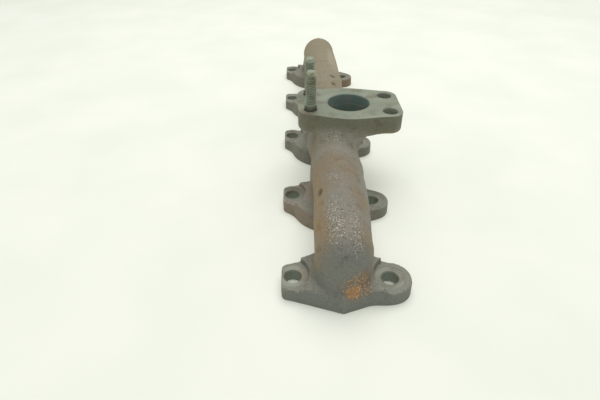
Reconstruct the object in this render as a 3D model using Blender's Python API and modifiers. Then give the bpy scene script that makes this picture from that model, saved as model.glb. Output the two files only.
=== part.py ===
"""Cast-iron exhaust manifold of a five-cylinder engine, with two turbocharger studs.

The manifold lies on its head face. Metres, +Z up, +Y along the row of ports.
"""

import math

import bmesh
import bpy
from mathutils import Matrix
from mathutils.geometry import convex_hull_2d

# Row of ports
PORT_COUNT = 5
PORT_PITCH = 0.0870
PORT_BORE = 0.0260

# Log tube, which narrows towards its ends: a round dome over the first port, a blunt one past the last
LOG_BORE = 0.0284
WALL = 0.0040
LOG_HEIGHT = 0.0300
LOG_OFFSET = 0.00325
END_BLEND = 0.0600
END_STEP = 0.0006
FAR_OFFSET = 0.0030
FAR_REACH = 0.0080
FAR_DEPTH = 0.0125
FOOT_FILLET = 0.0055

# Port flanges: a round boss with two bolt ears, and a blunt nose at the ends of the row
FLANGE_THICKNESS = 0.0130
BOLT_SPREAD = 0.0588
BOLT_HOLE = 0.0110
BOSS_RADIUS = 0.0285
BOSS_SHIFT = (-0.0043, -0.0059, -0.0034, -0.0013, -0.0023)
LEFT_BOLT_SHIFT = (0.0013, 0.0008, 0.0096, 0.0105, 0.0110)
RIGHT_BOLT_SHIFT = (-0.0009, -0.0072, -0.0035, -0.0090, -0.0135)
LEFT_EAR_RADIUS = 0.0117
RIGHT_EAR_RADIUS = 0.0131
LEFT_FLAT = 0.0073
SEAT_HEIGHT = 0.0090
SEAT_RADIUS = 0.0170
SEAT_OFFSET = 0.0070
SEAT_BITE = 0.0009
NOSE_REACH = 0.0213
NOSE_RADIUS = 0.0030
NOSE_MARGIN = 0.0013
NOSE_WIDTH_AT_RIGHT = 0.0089

# Turbocharger flange, on a neck that leans off the log between ports 2 and 3
TURBO_OFFSET = 0.0142
TURBO_RISE = 0.0350
TURBO_THICKNESS = 0.0143
TURBO_BORE = 0.0320
TURBO_BOSS_RADIUS = 0.0275
TURBO_BOSS_SHIFT = -0.0015
TURBO_SPAN_X = 0.0590
TURBO_SPAN_Y = 0.0290
TURBO_SKEW = 0.0021
TURBO_CORNER_RADIUS = 0.0095
TURBO_HOLE = 0.0110
NECK_FLARE = 0.0045

# Studs
STUD_DIAMETER = 0.0080
STUD_REACH = 0.0290
STUD_INSET = 0.0005
STUD_CHAMFER = 0.0008
COLLAR_STEP = 0.0007
COLLAR_HEIGHT = 0.0030
COLLAR_SINK = 0.0012
PILOT_STEP = 0.0008
PILOT_LENGTH = 0.0020
GAP = 0.0003

# Fineness of the round shapes
ROUND_SIDES = 32
OUTLINE_SIDES = 88
TUBE_RESOLUTION = 13
DOME_STEPS = 8
BLEND_STEPS = 6
FILLET_STEPS = 3

LOG_RADIUS = LOG_BORE / 2 + WALL
PORT_RADIUS = PORT_BORE / 2 + WALL
BOLT_X = BOLT_SPREAD / 2
SEAT_X = max(BOLT_X + SEAT_OFFSET, PORT_RADIUS - SEAT_BITE + SEAT_RADIUS)
SEAT_REACH = min(SEAT_X - SEAT_RADIUS - LOG_OFFSET, LOG_RADIUS)
LOG_SIDE = LOG_HEIGHT - math.sqrt(LOG_RADIUS**2 - SEAT_REACH**2)
SEAT_TOP = max(FLANGE_THICKNESS, min(LOG_SIDE, FLANGE_THICKNESS + FOOT_FILLET))
END_FILLET = min(FOOT_FILLET, NOSE_REACH - PORT_RADIUS - NOSE_MARGIN)
PORT_Y = [(i - (PORT_COUNT - 1) / 2) * PORT_PITCH for i in range(PORT_COUNT)]
TURBO_Y = (PORT_Y[1] + PORT_Y[2]) / 2
TURBO_FACE = LOG_HEIGHT + TURBO_RISE
TURBO_BACK = TURBO_FACE - TURBO_THICKNESS
STUD_DEPTH = TURBO_THICKNESS - STUD_INSET
STUD_HOLE = STUD_DIAMETER + 2 * GAP
COLLAR_DIAMETER = STUD_DIAMETER + 2 * COLLAR_STEP
PILOT_DIAMETER = STUD_DIAMETER - 2 * PILOT_STEP
COLLAR_HOLE = COLLAR_DIAMETER + 2 * GAP
COLLAR_SEAT = COLLAR_SINK + GAP
LEFT_SIDE = -(BOLT_X + LEFT_FLAT)
RIGHT_SIDE = TURBO_OFFSET + TURBO_SPAN_X / 2 + TURBO_CORNER_RADIUS
NEAR_END = PORT_Y[0] - NOSE_REACH
FAR_END = PORT_Y[-1] + max(NOSE_REACH, LEFT_BOLT_SHIFT[-1] + LEFT_EAR_RADIUS)
PAST = 0.0050


def collection(name):
    """Return a new collection in the scene."""
    made = bpy.data.collections.new(name)
    bpy.context.scene.collection.children.link(made)
    return made


def material(name, colour, roughness, metallic):
    """Return a Principled material."""
    made = bpy.data.materials.new(name)
    made.use_nodes = True
    shader = made.node_tree.nodes["Principled BSDF"]
    shader.inputs["Base Color"].default_value = (*colour, 1.0)
    shader.inputs["Roughness"].default_value = roughness
    shader.inputs["Metallic"].default_value = metallic
    return made


def place(name, mesh, group):
    """Put a mesh in a collection as an object held by the datum."""
    made = bpy.data.objects.new(name, mesh)
    made.parent = DATUM
    group.objects.link(made)
    return made


def evaluated_mesh(source):
    """Return the closed mesh of a curve or of an object with modifiers, and remove the source."""
    bpy.context.scene.collection.objects.link(source)
    graph = bpy.context.evaluated_depsgraph_get()
    mesh = bpy.data.meshes.new_from_object(source.evaluated_get(graph))
    bpy.data.objects.remove(source)
    shape = bmesh.new()
    shape.from_mesh(mesh)
    bmesh.ops.remove_doubles(shape, verts=shape.verts, dist=0.00001)
    bmesh.ops.recalc_face_normals(shape, faces=shape.faces)
    shape.to_mesh(mesh)
    shape.free()
    return mesh


def outline_around(circles):
    """Return the points of the tight outline around circles given as (x, y, radius)."""
    points = []
    for x, y, radius in circles:
        for i in range(ROUND_SIDES):
            angle = math.tau * i / ROUND_SIDES
            points.append((x + radius * math.cos(angle), y + radius * math.sin(angle)))
    return [points[i] for i in convex_hull_2d(points)]


def plate(name, outline, low, high):
    """Return the mesh of a flat outline between two heights."""
    curve = bpy.data.curves.new(name, "CURVE")
    curve.dimensions = "2D"
    curve.fill_mode = "BOTH"
    curve.extrude = (high - low) / 2
    spline = curve.splines.new("POLY")
    spline.points.add(len(outline) - 1)
    spline.use_cyclic_u = True
    for point, (x, y) in zip(spline.points, outline):
        point.co = (x, y, 0.0, 1.0)
    mesh = evaluated_mesh(bpy.data.objects.new(name, curve))
    mesh.transform(Matrix.Translation((0.0, 0.0, (low + high) / 2)))
    return mesh


def tube(name, path):
    """Return the mesh of a round bar along a path of (x, y, z, radius)."""
    curve = bpy.data.curves.new(name, "CURVE")
    curve.dimensions = "3D"
    curve.bevel_depth = WALL
    curve.bevel_resolution = TUBE_RESOLUTION
    curve.use_fill_caps = True
    spline = curve.splines.new("POLY")
    spline.points.add(len(path) - 1)
    for point, (x, y, z, radius) in zip(spline.points, path):
        point.co = (x, y, z, 1.0)
        point.radius = radius / WALL
    return evaluated_mesh(bpy.data.objects.new(name, curve))


def turned(name, profile, x, y):
    """Return the mesh of a profile of (radius, z) turned about the upright line at x, y."""
    mesh = bpy.data.meshes.new(name)
    edges = [(i, i + 1) for i in range(len(profile) - 1)]
    mesh.from_pydata([(radius, 0.0, z) for radius, z in profile], edges, [])
    source = bpy.data.objects.new(name, mesh)
    screw = source.modifiers.new("turn", "SCREW")
    screw.steps = ROUND_SIDES
    screw.render_steps = ROUND_SIDES
    screw.use_merge_vertices = True
    screw.merge_threshold = 0.00001
    made = evaluated_mesh(source)
    made.transform(Matrix.Translation((x, y, 0.0)))
    return made


def upright(name, x, y, low, high, radius):
    """Return the mesh of an upright cylinder."""
    return turned(name, [(0.0, low), (radius, low), (radius, high), (0.0, high)], x, y)


def block(name, low, high):
    """Return the mesh of a box between two corners."""
    mesh = bpy.data.meshes.new(name)
    shape = bmesh.new()
    bmesh.ops.create_cube(shape, size=1.0)
    size = [b - a for a, b in zip(low, high)]
    middle = [(a + b) / 2 for a, b in zip(low, high)]
    bmesh.ops.scale(shape, verts=shape.verts, vec=size)
    bmesh.ops.translate(shape, verts=shape.verts, vec=middle)
    shape.to_mesh(mesh)
    shape.free()
    return mesh


def log_end(end_radius, log_radius, offset, reach, depth):
    """Return half the log from its tip inwards, as (x, distance out from the end port, radius)."""
    half = []
    for i in range(1, DOME_STEPS + 1):
        angle = math.pi / 2 * (1 - i / DOME_STEPS)
        half.append((offset, reach + depth * math.sin(angle), end_radius * math.cos(angle)))
    for i in range(1, BLEND_STEPS + 1):
        part = i / BLEND_STEPS
        share = part * part * (3 - 2 * part)
        radius = end_radius + (log_radius - end_radius) * share
        half.append((offset + (LOG_OFFSET - offset) * share, -END_BLEND * part, radius))
    return half


def log_path(end_radius, log_radius, far_depth):
    """Return the centre line of the log, from its dome over the first port to the one past the last."""
    near = log_end(end_radius, log_radius, 0.0, 0.0, end_radius)
    far = log_end(end_radius, log_radius, FAR_OFFSET, FAR_REACH, far_depth)
    path = [(x, PORT_Y[0] - out, LOG_HEIGHT, radius) for x, out, radius in near]
    return path + [(x, PORT_Y[-1] + out, LOG_HEIGHT, radius) for x, out, radius in reversed(far)]


def neck_path(top, top_radius, low_radius, flare):
    """Return the centre line of the neck, from the log's axis to a height over the flange's back."""
    rise = TURBO_BACK - LOG_HEIGHT
    shift = TURBO_OFFSET - LOG_OFFSET
    middle_radius = low_radius + 0.3 * (top_radius - low_radius)
    return [
        (LOG_OFFSET, TURBO_Y, LOG_HEIGHT, low_radius),
        (LOG_OFFSET + 0.60 * shift, TURBO_Y, LOG_HEIGHT + 0.35 * rise, middle_radius),
        (LOG_OFFSET + 0.95 * shift, TURBO_Y, LOG_HEIGHT + 0.80 * rise, top_radius),
        (TURBO_OFFSET, TURBO_Y, TURBO_BACK + 0.2 * TURBO_THICKNESS, top_radius + flare),
        (TURBO_OFFSET, TURBO_Y, top, top_radius + flare),
    ]


def foot_profile(fillet):
    """Return the profile of the fillet where a tube of the port's size meets its flange."""
    low = FLANGE_THICKNESS - fillet / 2
    profile = [(0.0, low), (PORT_RADIUS + fillet, low)]
    for i in range(FILLET_STEPS + 1):
        angle = math.pi / 2 * i / FILLET_STEPS
        radius = PORT_RADIUS + fillet * (1 - math.sin(angle))
        profile.append((radius, FLANGE_THICKNESS + fillet * (1 - math.cos(angle))))
    return profile + [(0.0, FLANGE_THICKNESS + fillet)]


def reach_along(outline, centre, angle):
    """Return how far a convex outline reaches from a point in one direction."""
    step_x, step_y = math.cos(angle), math.sin(angle)
    reach = 0.0
    for (ax, ay), (bx, by) in zip(outline, outline[1:] + outline[:1]):
        start_x, start_y = ax - centre[0], ay - centre[1]
        edge_x, edge_y = bx - ax, by - ay
        cross = step_x * edge_y - step_y * edge_x
        if abs(cross) < 1e-12:
            continue
        along_edge = (start_x * step_y - start_y * step_x) / cross
        if 0.0 <= along_edge <= 1.0:
            reach = max(reach, (start_x * edge_y - start_y * edge_x) / cross)
    return reach


def flange_outline(index):
    """Return the outline of one port flange, around the middle of its boss."""
    y = PORT_Y[index]
    left = (-BOLT_X, y + LEFT_BOLT_SHIFT[index], LEFT_EAR_RADIUS)
    right = (BOLT_X, y + RIGHT_BOLT_SHIFT[index], RIGHT_EAR_RADIUS)
    centre = (0.0, y + BOSS_SHIFT[index])
    boss = outline_around([(*centre, BOSS_RADIUS)])
    shapes = [boss, outline_around([left]), outline_around([right])]
    end = {0: -1, PORT_COUNT - 1: 1}.get(index)
    if end is not None:
        nose = (0.0, y + end * (NOSE_REACH - NOSE_RADIUS), NOSE_RADIUS)
        inner_half = [centre] + [point for point in boss if (point[1] - centre[1]) * end < 0]
        wedge = outline_around([left, (*right[:2], NOSE_WIDTH_AT_RIGHT), nose])
        shapes = [[inner_half[i] for i in convex_hull_2d(inner_half)], wedge, outline_around([right])]
    outline = []
    for i in range(OUTLINE_SIDES):
        angle = math.tau * i / OUTLINE_SIDES
        reach = max(reach_along(shape, centre, angle) for shape in shapes)
        outline.append((centre[0] + reach * math.cos(angle), centre[1] + reach * math.sin(angle)))
    return outline


def turbo_corners():
    """Return the centres of the turbocharger flange's holes, the two studs' first."""
    corners = []
    for side in (-1, 1):
        x = TURBO_OFFSET + side * TURBO_SPAN_X / 2
        for end in (-1, 1):
            corners.append((x, TURBO_Y + end * TURBO_SPAN_Y / 2 - side * TURBO_SKEW))
    return corners


def stud_profile():
    """Return the profile of a stud, with its heights taken from the turbocharger flange's face."""
    radius = STUD_DIAMETER / 2
    collar = COLLAR_DIAMETER / 2
    pilot = PILOT_DIAMETER / 2
    shoulder = STUD_REACH - PILOT_LENGTH
    ease = STUD_CHAMFER / 2
    return [
        (0.0, -STUD_DEPTH),
        (radius - STUD_CHAMFER, -STUD_DEPTH),
        (radius, -STUD_DEPTH + STUD_CHAMFER),
        (radius, -COLLAR_SINK),
        (collar, -COLLAR_SINK),
        (collar, COLLAR_HEIGHT - ease),
        (collar - ease, COLLAR_HEIGHT),
        (radius, COLLAR_HEIGHT),
        (radius, shoulder - STUD_CHAMFER),
        (pilot, shoulder),
        (pilot, STUD_REACH - ease),
        (pilot - ease, STUD_REACH),
        (0.0, STUD_REACH),
    ]


def boolean(target, name, operation, group):
    """Add a Boolean with all the objects of a collection."""
    modifier = target.modifiers.new(name, "BOOLEAN")
    modifier.operation = operation
    modifier.operand_type = "COLLECTION"
    modifier.collection = group
    modifier.solver = "EXACT"


def build_casting(parts, shapes, passages, cutters):
    """Build the casting from its cast shapes, gas passages and machining."""
    inside = FLANGE_THICKNESS / 4
    log = tube("manifold_casting", log_path(PORT_RADIUS + END_STEP, LOG_RADIUS, FAR_DEPTH))
    casting = place("manifold_casting", log, parts)
    for index, y in enumerate(PORT_Y):
        outline = flange_outline(index)
        place(f"flange_{index + 1}", plate("flange", outline, 0.0, FLANGE_THICKNESS), shapes)
        fillet = END_FILLET if index in (0, PORT_COUNT - 1) else FOOT_FILLET
        place(f"foot_{index + 1}", turned("foot", foot_profile(fillet), 0.0, y), shapes)
        runner = upright("runner", 0.0, y, inside, LOG_HEIGHT, PORT_RADIUS)
        place(f"runner_{index + 1}", runner, shapes)
        bore = upright("port", 0.0, y, -PAST, LOG_HEIGHT, PORT_BORE / 2)
        place(f"port_{index + 1}", bore, passages)

    circles = [(x, y, TURBO_CORNER_RADIUS) for x, y in turbo_corners()]
    circles.append((TURBO_OFFSET, TURBO_Y + TURBO_BOSS_SHIFT, TURBO_BOSS_RADIUS))
    place("turbo_flange", plate("turbo_flange", outline_around(circles), TURBO_BACK, TURBO_FACE), shapes)
    neck_radius = TURBO_BORE / 2 + WALL
    neck_top = TURBO_FACE - TURBO_THICKNESS / 4
    place("neck", tube("neck", neck_path(neck_top, neck_radius, PORT_RADIUS, NECK_FLARE)), shapes)

    log_bore = log_path(PORT_BORE / 2 + END_STEP, LOG_BORE / 2, FAR_DEPTH - WALL)
    place("log_bore", tube("log_bore", log_bore), passages)
    neck_bore = neck_path(TURBO_FACE + PAST, TURBO_BORE / 2, PORT_BORE / 2, 0.0)
    place("neck_bore", tube("neck_bore", neck_bore), passages)

    for side, shifts in ((-1, LEFT_BOLT_SHIFT), (1, RIGHT_BOLT_SHIFT)):
        for port_y, shift in zip(PORT_Y, shifts):
            y = port_y + shift
            hole = upright("bolt_hole", side * BOLT_X, y, -PAST, FLANGE_THICKNESS + PAST, BOLT_HOLE / 2)
            place("bolt_hole", hole, cutters)
            seat = upright("bolt_seat", side * SEAT_X, y, SEAT_HEIGHT, SEAT_TOP, SEAT_RADIUS)
            place("bolt_seat", seat, cutters)
    far = abs(PORT_Y[0]) + BOLT_SPREAD
    flat_low = (LEFT_SIDE - LEFT_EAR_RADIUS, -far, -PAST)
    flat_high = (LEFT_SIDE, far, FLANGE_THICKNESS + PAST)
    place("left_flat", block("left_flat", flat_low, flat_high), cutters)
    for index, (x, y) in enumerate(turbo_corners()):
        width = STUD_HOLE if index < 2 else TURBO_HOLE
        low = TURBO_BACK - GAP
        place("turbo_hole", upright("turbo_hole", x, y, low, TURBO_FACE + PAST, width / 2), cutters)
        if index < 2:
            floor = TURBO_FACE - COLLAR_SEAT
            seat = upright("collar_seat", x, y, floor, TURBO_FACE + PAST, COLLAR_HOLE / 2)
            place("collar_seat", seat, cutters)

    boolean(casting, "cast", "UNION", shapes)
    boolean(casting, "cores", "DIFFERENCE", passages)
    boolean(casting, "machining", "DIFFERENCE", cutters)
    return casting


def build_studs(parts):
    """Build the two studs in the holes on the flange's left."""
    studs = []
    for name, (x, y) in zip(("front_turbo_stud", "rear_turbo_stud"), turbo_corners()):
        mesh = turned(name, [(r, TURBO_FACE + z) for r, z in stud_profile()], x, y)
        studs.append(place(name, mesh, parts))
    return studs


for old in list(bpy.data.objects):
    bpy.data.objects.remove(old)

PARTS = collection("exhaust_manifold")
SHAPES = collection("cast_shapes")
PASSAGES = collection("gas_passages")
CUTTERS = collection("machining_cutters")

DATUM = bpy.data.objects.new("manifold_datum", None)
DATUM.location = (-(LEFT_SIDE + RIGHT_SIDE) / 2, -(NEAR_END + FAR_END) / 2, 0.0)
PARTS.objects.link(DATUM)

IRON = material("cast iron, heat-browned", (0.26, 0.22, 0.18), 0.72, 0.55)
STEEL = material("stud steel, oxidised", (0.14, 0.14, 0.12), 0.48, 0.85)

build_casting(PARTS, SHAPES, PASSAGES, CUTTERS).data.materials.append(IRON)
for stud in build_studs(PARTS):
    stud.data.materials.append(STEEL)

for group in (SHAPES, PASSAGES, CUTTERS):
    for cutter in group.objects:
        cutter.hide_render = True
        cutter.display_type = "WIRE"
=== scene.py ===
"""Looks of a used cast-iron exhaust manifold with two turbocharger studs, on a pale studio floor."""

import logging
import math
from collections.abc import Sequence
from dataclasses import dataclass
from enum import Enum
from itertools import product

import bmesh
import bpy
import numpy as np
from bpy.types import Material, Mesh, Node, NodeOutputs, NodeSocket, NodeTree, Object
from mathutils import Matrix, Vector
from mathutils.geometry import convex_hull_2d


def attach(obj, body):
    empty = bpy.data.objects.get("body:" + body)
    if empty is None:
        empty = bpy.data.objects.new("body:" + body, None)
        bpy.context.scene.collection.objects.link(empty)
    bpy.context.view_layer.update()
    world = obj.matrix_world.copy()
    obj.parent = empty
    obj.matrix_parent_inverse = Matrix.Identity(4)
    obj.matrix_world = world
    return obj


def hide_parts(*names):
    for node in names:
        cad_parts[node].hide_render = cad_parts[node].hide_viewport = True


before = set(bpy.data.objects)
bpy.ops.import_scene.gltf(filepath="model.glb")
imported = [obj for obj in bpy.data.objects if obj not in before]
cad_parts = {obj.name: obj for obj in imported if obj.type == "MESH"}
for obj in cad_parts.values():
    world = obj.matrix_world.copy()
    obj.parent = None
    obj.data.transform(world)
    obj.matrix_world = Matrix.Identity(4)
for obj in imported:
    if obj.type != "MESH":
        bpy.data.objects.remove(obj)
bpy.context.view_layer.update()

LOG = logging.getLogger("manifold")
MM = 0.001
Array = np.ndarray
Pair = tuple[float, float]
Place = tuple[float, float, float]
Points = tuple[Array, Array, Array]
Noises = dict[str, NodeSocket]
Coats = list[tuple[NodeSocket, str]]
Layer = tuple[NodeSocket, float, float, float, str]
Factor = tuple[NodeSocket, float, float, float, float]


class Slot(Enum):
    """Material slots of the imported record."""

    IRON = "cast_iron"
    STEEL = "stud_steel"


class Fade(Enum):
    """How a coat of colour comes in over its span."""

    EVEN = "LINEAR"
    SOFT = "SMOOTHSTEP"


def linear(colour: str) -> tuple[float, float, float, float]:
    """Turn an sRGB hex colour into linear red, green, blue and alpha.

    Args:
        colour: Six hex digits with a leading hash.

    Returns:
        The linear values, with an alpha of one.
    """
    parts = [int(colour[i:i + 2], 16) / 255 for i in (1, 3, 5)]
    made = [p / 12.92 if p <= 0.04045 else ((p + 0.055) / 1.055) ** 2.4 for p in parts]
    return (made[0], made[1], made[2], 1.0)


def add_node(
    tree: NodeTree, kind: str, inputs: dict[str | int, object] | None = None, **settings: object
) -> Node:
    """Add one node with its settings, and fill or link its inputs.

    Args:
        tree: The tree that gets the node.
        kind: The node's type name.
        inputs: For each input, by name or number, a value or the output that feeds it.
        settings: Attributes of the node, set before its inputs.

    Returns:
        The new node.
    """
    made = tree.nodes.new(kind)
    for name, value in settings.items():
        setattr(made, name, value)
    for key, value in (inputs or {}).items():
        if isinstance(value, NodeSocket):
            tree.links.new(value, made.inputs[key])
        else:
            made.inputs[key].default_value = value
    return made


def link_object(name: str, mesh: Mesh) -> Object:
    """Put a mesh in the scene as an object at the origin.

    Args:
        name: The object's name.
        mesh: The mesh.

    Returns:
        The object.
    """
    made = bpy.data.objects.new(name, mesh)
    bpy.context.scene.collection.objects.link(made)
    return made


def settled(source: Object) -> Mesh:
    """Turn an object into the plain mesh that its modifiers make.

    Args:
        source: The object, which is removed.

    Returns:
        The mesh.
    """
    graph = bpy.context.evaluated_depsgraph_get()
    made = bpy.data.meshes.new_from_object(source.evaluated_get(graph))
    bpy.data.objects.remove(source)
    return made


def open_tree(name: str, inputs: dict[str, str]) -> tuple[NodeTree, NodeOutputs]:
    """Start a geometry tree that takes a geometry, inputs of its own and a material.

    Args:
        name: The tree's name.
        inputs: For each input of its own, the kind of its socket.

    Returns:
        The tree, and what its inputs give.
    """
    tree = bpy.data.node_groups.new(name, "GeometryNodeTree")
    for label, kind in {"Geometry": "Geometry", **inputs, "Material": "Material"}.items():
        tree.interface.new_socket(label, in_out="INPUT", socket_type=f"NodeSocket{kind}")
    tree.interface.new_socket("Geometry", in_out="OUTPUT", socket_type="NodeSocketGeometry")
    return tree, add_node(tree, "NodeGroupInput").outputs


def close_tree(tree: NodeTree, shape: NodeSocket, given: NodeOutputs) -> NodeTree:
    """End a geometry tree.

    Args:
        tree: The tree.
        shape: The geometry that it has made.
        given: What its inputs give.

    Returns:
        The tree, which gives the geometry as real meshes in its material.
    """
    real = add_node(tree, "GeometryNodeRealizeInstances", {"Geometry": shape}).outputs[0]
    worn = add_node(tree, "GeometryNodeSetMaterial", {"Geometry": real, "Material": given["Material"]})
    add_node(tree, "NodeGroupOutput", {"Geometry": worn.outputs[0]})
    return tree


def run_tree(piece: Object, tree: NodeTree, values: dict[str, object]) -> Mesh:
    """Run a geometry tree on an object.

    Args:
        piece: The object, which is removed.
        tree: The tree.
        values: What its named inputs are set to.

    Returns:
        The plain mesh that comes out.
    """
    modifier = piece.modifiers.new(tree.name, "NODES")
    modifier.node_group = tree
    for socket in tree.interface.items_tree:
        if socket.in_out == "INPUT" and socket.name in values:
            modifier[socket.identifier] = values[socket.name]
    return settled(piece)


def solid_mesh(name: str, points: Array | list[Place], faces: Sequence[Sequence[int]]) -> Mesh:
    """Return a mesh from its points and faces.

    Args:
        name: The mesh's name.
        points: Its points in millimetres.
        faces: The numbers of each face's points.

    Returns:
        The mesh, in metres.
    """
    made = bpy.data.meshes.new(name)
    made.from_pydata((np.asarray(points) * MM).tolist(), [], faces)
    made.update()
    return made


def turned_mesh(name: str, rings: list[Pair], axis: Pair, sides: int) -> Mesh:
    """Return a turned mesh with a flat end at its lowest and its highest ring.

    Args:
        name: The mesh's name.
        rings: Radius and height of each ring in millimetres, upwards.
        axis: Place of the upright axis.
        sides: Number of flats around.

    Returns:
        The mesh, in metres.
    """
    x, y = axis
    angles = np.arange(sides) * math.tau / sides
    points = [(x, y, rings[0][1])]
    for radius, height in rings:
        points += [(x + radius * math.cos(a), y + radius * math.sin(a), height) for a in angles]
    points.append((x, y, rings[-1][1]))
    faces: list[tuple[int, ...]] = []
    last = len(points) - 1
    top = 1 + (len(rings) - 1) * sides
    for i in range(sides):
        j = (i + 1) % sides
        faces.append((0, 1 + j, 1 + i))
        for ring in range(len(rings) - 1):
            low, high = 1 + ring * sides, 1 + (ring + 1) * sides
            faces.append((low + i, low + j, high + j, high + i))
        faces.append((last, top + i, top + j))
    return solid_mesh(name, points, faces)


def box_mesh(name: str, low: Place, high: Place) -> Mesh:
    """Return a box.

    Args:
        name: The mesh's name.
        low: Its lowest corner in millimetres.
        high: Its highest corner in millimetres.

    Returns:
        The mesh, in metres.
    """
    made = bpy.data.meshes.new(name)
    shape = bmesh.new()
    bmesh.ops.create_cube(shape, size=1.0)
    middle = [(a + b) / 2 * MM for a, b in zip(low, high)]
    bmesh.ops.scale(shape, verts=shape.verts, vec=[(b - a) * MM for a, b in zip(low, high)])
    bmesh.ops.translate(shape, verts=shape.verts, vec=middle)
    shape.to_mesh(made)
    shape.free()
    return made


# Distance fields: how far a point lies outside a shape, in millimetres


def fillet_union(a: Array, b: Array, radius: float | Array) -> Array:
    """Join two fields with a round fillet in the corner between them."""
    both = np.hypot(np.maximum(radius - a, 0), np.maximum(radius - b, 0))
    return np.maximum(radius, np.minimum(a, b)) - both


def round_edge(a: Array, b: Array, radius: float | Array) -> Array:
    """Keep what lies in both fields, with a rounded edge where they meet."""
    both = np.hypot(np.maximum(radius + a, 0), np.maximum(radius + b, 0))
    return np.minimum(-radius, np.maximum(a, b)) + both


def hull_of_circles(circles: list[Place], sides: int = 64) -> list[Pair]:
    """Return the tight outline around circles.

    Args:
        circles: The x, y and radius of each circle.
        sides: Number of points on each circle.

    Returns:
        The outline's corners in order.
    """
    points = []
    for x, y, radius in circles:
        for i in range(sides):
            angle = math.tau * i / sides
            points.append((x + radius * math.cos(angle), y + radius * math.sin(angle)))
    return [points[i] for i in convex_hull_2d(points)]


def outline_field(outline: list[Pair], x: Array, y: Array) -> Array:
    """Return the distance from a closed outline, negative inside it.

    Args:
        outline: Its corners in order.
        x: Places to measure.
        y: Places to measure.

    Returns:
        The signed distances.
    """
    nearest = np.full(np.broadcast(x, y).shape, np.inf, np.float32)
    inside = np.zeros(nearest.shape, bool)
    for (ax, ay), (bx, by) in zip(outline, outline[1:] + outline[:1]):
        edge_x, edge_y = bx - ax, by - ay
        part = ((x - ax) * edge_x + (y - ay) * edge_y) / (edge_x**2 + edge_y**2)
        part = np.clip(part, 0, 1)
        nearest = np.minimum(nearest, (x - ax - part * edge_x) ** 2 + (y - ay - part * edge_y) ** 2)
        if ay != by:
            crossing = ax + (y - ay) * edge_x / edge_y
            inside ^= ((ay > y) != (by > y)) & (x < crossing)
    return np.where(inside, -1, 1) * np.sqrt(nearest)


@dataclass(frozen=True)
class Spot:
    """A place on the casting that differs from the rest, in millimetres.

    The core is the share of its reach that the spot covers fully.
    """

    centre: Place
    reach: Place
    core: float = 0.3

    def field(self, at: Points) -> Array:
        """Return the field of the spot as a rounded hollow."""
        parts = [((a - c) / r) ** 2 for a, c, r in zip(at, self.centre, self.reach)]
        return (np.sqrt(sum(parts)) - 1) * min(self.reach)

    def cover(self, tree: NodeTree, place: NodeSocket) -> NodeSocket:
        """Return nodes' measure of how much of the spot lies on a point.

        Args:
            tree: The tree that gets the nodes.
            place: The piece's coordinates.

        Returns:
            One in the core, falling to nought at the spot's reach.
        """
        values = {"Vector": place, "Location": Vector(self.centre) * MM, "Scale": Vector(self.reach) * MM}
        local = add_node(tree, "ShaderNodeMapping", values, vector_type="TEXTURE").outputs[0]
        away = add_node(tree, "ShaderNodeVectorMath", {0: local}, operation="LENGTH").outputs["Value"]
        values = {"Value": away, "From Min": self.core, "From Max": 1.0, "To Min": 1.0, "To Max": 0.0}
        return add_node(tree, "ShaderNodeMapRange", values, interpolation_type=Fade.SOFT.value).outputs[0]


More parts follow.
